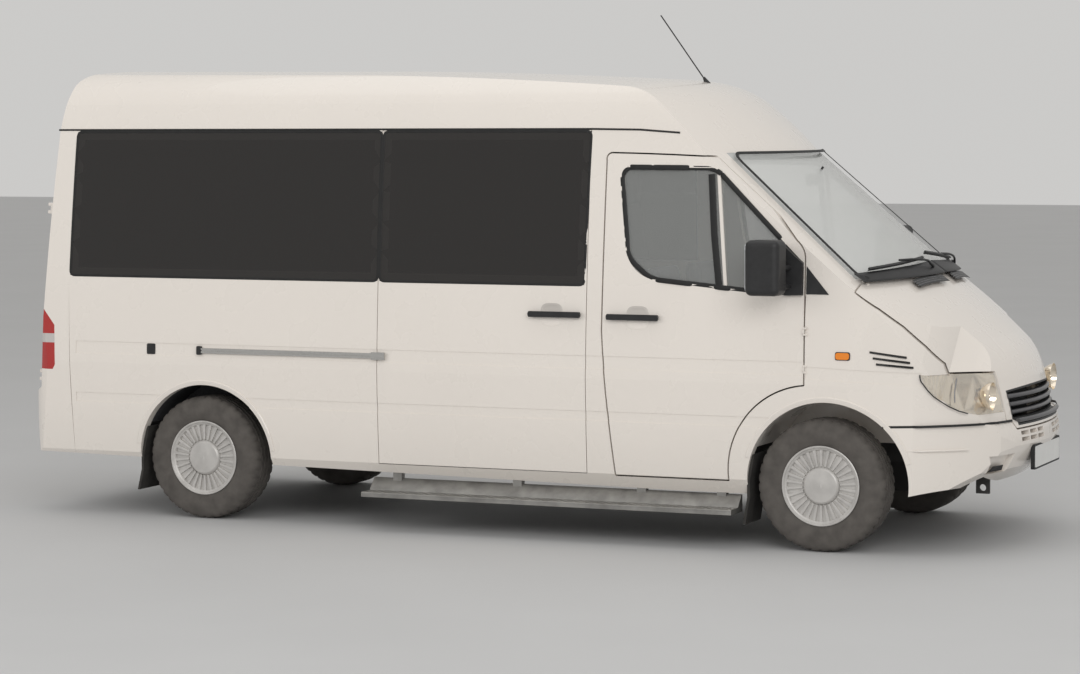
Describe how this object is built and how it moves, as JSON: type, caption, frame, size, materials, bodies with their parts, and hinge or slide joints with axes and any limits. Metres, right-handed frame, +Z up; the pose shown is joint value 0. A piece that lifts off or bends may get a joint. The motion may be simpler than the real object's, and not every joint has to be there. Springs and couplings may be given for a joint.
{
  "type": "high-roof minibus",
  "caption": "High-roof minibus with sliding side door, hinged front and rear doors, bonnet, steered front wheels and rows of seats.",
  "frame": {"origin": "on the ground at the middle of the length and width", "axes": "+X forward, +Y to the left, +Z up"},
  "size_m": [5.6001, 2.41, 2.7479],
  "materials": {
    "white_paint": "gloss",
    "floor_grey": "matte",
    "dark_plastic": "satin",
    "clear_glass": "gloss",
    "dark_glass": "gloss",
    "lamp_glass": "gloss",
    "lamp_housing": "gloss",
    "red_plastic": "gloss",
    "chassis_steel": "satin",
    "engine_metal": "matte",
    "exhaust_steel": "satin",
    "tyre_rubber": "matte",
    "wheel_silver": "satin",
    "step_metal": "satin",
    "flap_rubber": "matte",
    "bright_metal": "gloss",
    "dash_plastic": "matte",
    "seat_fabric": "matte",
    "seat_base": "satin"
  },
  "bodies": {
    "body": {"antenna": "dark_plastic", "cab_bulkhead": "white_paint", "cab_seats": "seat_fabric", "cabin_seats": "seat_fabric", "chassis_frame": "chassis_steel", "dashboard": "dash_plastic", "door_rail": "bright_metal", "drive_shaft": "chassis_steel", "engine_block": "engine_metal", "exhaust": "exhaust_steel", "fender_left": "white_paint", "fender_right": "white_paint", "floor_pan": "floor_grey", "front_bumper": "white_paint", "front_suspension": "chassis_steel", "fuel_tank": "dark_plastic", "headlamp_lenses": "lamp_glass", "headlamps": "lamp_housing", "leaf_springs": "chassis_steel", "mud_flaps": "flap_rubber", "rear_axle": "chassis_steel", "rear_bumper": "white_paint", "rear_frame": "white_paint", "roof": "white_paint", "running_board": "step_metal", "seat_bases": "seat_base", "side_wall_left": "white_paint", "side_wall_right": "white_paint", "side_windows": "dark_glass", "sliding_door": "white_paint", "sliding_door_handle": "dark_plastic", "spare_wheel": "tyre_rubber", "steering_wheel": "dark_plastic", "tail_lamps": "red_plastic", "windscreen": "clear_glass"},
    "bonnet": {"bonnet": "white_paint", "grille": "dark_plastic"},
    "front_door_left": {"front_door_left": "white_paint", "door_glass_left": "clear_glass", "door_fittings_left": "dark_plastic"},
    "rear_door_left": {"rear_door_left": "white_paint", "rear_glass_left": "dark_glass"},
    "knuckle_left": {"knuckle_left": "chassis_steel"},
    "front_door_right": {"front_door_right": "white_paint", "door_glass_right": "clear_glass", "door_fittings_right": "dark_plastic"},
    "rear_door_right": {"rear_door_right": "white_paint", "rear_glass_right": "dark_glass"},
    "knuckle_right": {"knuckle_right": "chassis_steel"},
    "wheel_front_left": {"tyre_front_left": "tyre_rubber", "wheel_front_left": "wheel_silver"},
    "wheel_front_right": {"tyre_front_right": "tyre_rubber", "wheel_front_right": "wheel_silver"},
    "wheel_rear_left": {"tyre_rear_left": "tyre_rubber", "wheel_rear_left": "wheel_silver"},
    "wheel_rear_right": {"tyre_rear_right": "tyre_rubber", "wheel_rear_right": "wheel_silver"}
  },
  "joints": [
    {"name": "steer_left", "type": "hinge", "parent": "body", "child": "knuckle_left", "pos_m": [1.855, 0.795, 0.337], "axis": [0, 0, 1], "range_deg": [-35, 35]},
    {"name": "spin_front_left", "type": "hinge", "parent": "knuckle_left", "child": "wheel_front_left", "pos_m": [1.855, 0.815, 0.337], "axis": [0, 1, 0], "continuous": true},
    {"name": "spin_rear_left", "type": "hinge", "parent": "body", "child": "wheel_rear_left", "pos_m": [-1.695, 0.815, 0.337], "axis": [0, 1, 0], "continuous": true},
    {"name": "front_door_left", "type": "hinge", "parent": "body", "child": "front_door_left", "pos_m": [1.781, 0.966, 0.9], "axis": [0, 0, -1], "range_deg": [0, 70]},
    {"name": "rear_door_left", "type": "hinge", "parent": "body", "child": "rear_door_left", "pos_m": [-2.762, 0.835, 0.7], "axis": [-0.0762, 0, -0.9971], "range_deg": [0, 180]},
    {"name": "steer_right", "type": "hinge", "parent": "body", "child": "knuckle_right", "pos_m": [1.855, -0.795, 0.337], "axis": [0, 0, 1], "range_deg": [-35, 35]},
    {"name": "spin_front_right", "type": "hinge", "parent": "knuckle_right", "child": "wheel_front_right", "pos_m": [1.855, -0.815, 0.337], "axis": [0, 1, 0], "continuous": true},
    {"name": "spin_rear_right", "type": "hinge", "parent": "body", "child": "wheel_rear_right", "pos_m": [-1.695, -0.815, 0.337], "axis": [0, 1, 0], "continuous": true},
    {"name": "front_door_right", "type": "hinge", "parent": "body", "child": "front_door_right", "pos_m": [1.781, -0.966, 0.9], "axis": [0, 0, 1], "range_deg": [0, 70]},
    {"name": "rear_door_right", "type": "hinge", "parent": "body", "child": "rear_door_right", "pos_m": [-2.762, -0.835, 0.7], "axis": [0.0762, 0, 0.9971], "range_deg": [0, 180]},
    {"name": "bonnet", "type": "hinge", "parent": "body", "child": "bonnet", "pos_m": [2.041, 0, 1.368], "axis": [0, -1, 0], "range_deg": [0, 45]}
  ],
  "couplings": [
    {"joint": "steer_right", "follows": "steer_left", "ratio": 1}
  ]
}
